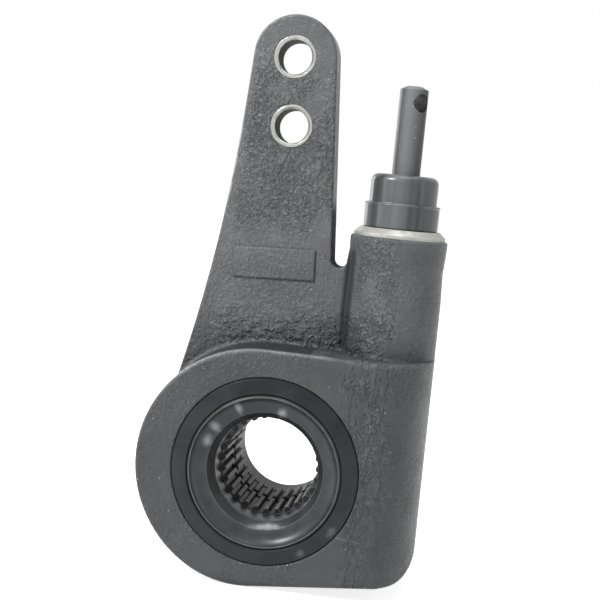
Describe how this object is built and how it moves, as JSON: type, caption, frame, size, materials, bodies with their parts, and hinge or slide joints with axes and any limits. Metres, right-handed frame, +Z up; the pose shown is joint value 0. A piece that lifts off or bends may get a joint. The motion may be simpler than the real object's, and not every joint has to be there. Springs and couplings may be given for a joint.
{
  "type": "automatic brake slack adjuster",
  "caption": "Brake slack adjuster: cast lever arm with bushed clevis holes, splined worm gear in a round boss, and a sliding actuator rod in a side tube.",
  "frame": {"origin": "on the axis of the splined bore, half way through the casting", "axes": "+Z up along the worm and the actuator rod, +X from the splined bore to the worm, -Y towards the front face with the cover, +Y out of the back end of the splined bore"},
  "size_m": [0.106, 0.0626, 0.2121],
  "materials": {
    "casting_paint": "dark grey paint on a sand casting",
    "gear_black": "gloss black",
    "cover_black": "gloss black",
    "gland_steel": "bare machined steel",
    "worm_steel": "ground",
    "inner_steel": "oiled",
    "spring_steel": "oiled",
    "rod_steel": "dark phosphate",
    "bushing_steel": "bright",
    "washer_brass": "plain bronze",
    "seal_rubber": "matte",
    "boot_grey": "gloss grey",
    "fitting_zinc": "zinc plated"
  },
  "bodies": {
    "housing": {"housing": "casting_paint", "gear_cover": "cover_black", "bushing_lower": "bushing_steel", "bushing_upper": "bushing_steel", "thrust_washer_front": "washer_brass", "thrust_washer_back": "washer_brass", "hub_seal_front": "seal_rubber", "hub_seal_back": "seal_rubber", "worm_bushing": "washer_brass", "worm_thrust_washer": "washer_brass", "worm_seal": "seal_rubber", "gland": "gland_steel", "gland_ring": "seal_rubber", "rod_wiper": "seal_rubber", "rod_boot": "boot_grey", "grease_fitting": "fitting_zinc", "fitting_ball": "inner_steel"},
    "gear": {"worm_gear": "gear_black"},
    "worm": {"worm": "worm_steel", "clutch_spring": "spring_steel"},
    "sleeve": {"drive_sleeve": "inner_steel"},
    "rod": {"actuator_rod": "rod_steel", "cross_pin": "inner_steel", "spring_seat": "inner_steel", "seat_clip": "spring_steel", "return_spring": "spring_steel"}
  },
  "joints": [
    {"name": "gear_spin", "type": "hinge", "parent": "housing", "child": "gear", "pos_m": [0, 0, 0], "axis": [0, 1, 0], "continuous": true},
    {"name": "worm_spin", "type": "hinge", "parent": "housing", "child": "worm", "pos_m": [0.03875, 0, 0], "axis": [0, 0, 1], "continuous": true},
    {"name": "rod_slide", "type": "slide", "parent": "housing", "child": "rod", "axis": [0, 0, 1], "range_m": [0, 0.012], "stiffness_N_per_m": 1500, "springref_m": -0.01, "deforming": ["return_spring"]},
    {"name": "sleeve_turn", "type": "hinge", "parent": "housing", "child": "sleeve", "pos_m": [0.03875, 0, 0], "axis": [0, 0, 1], "range_deg": [-75, 5]}
  ],
  "couplings": [
    {"joint": "worm_spin", "follows": "gear_spin", "ratio": 26},
    {"joint": "sleeve_turn", "follows": "rod_slide", "rad_per_m": -104.72}
  ]
}
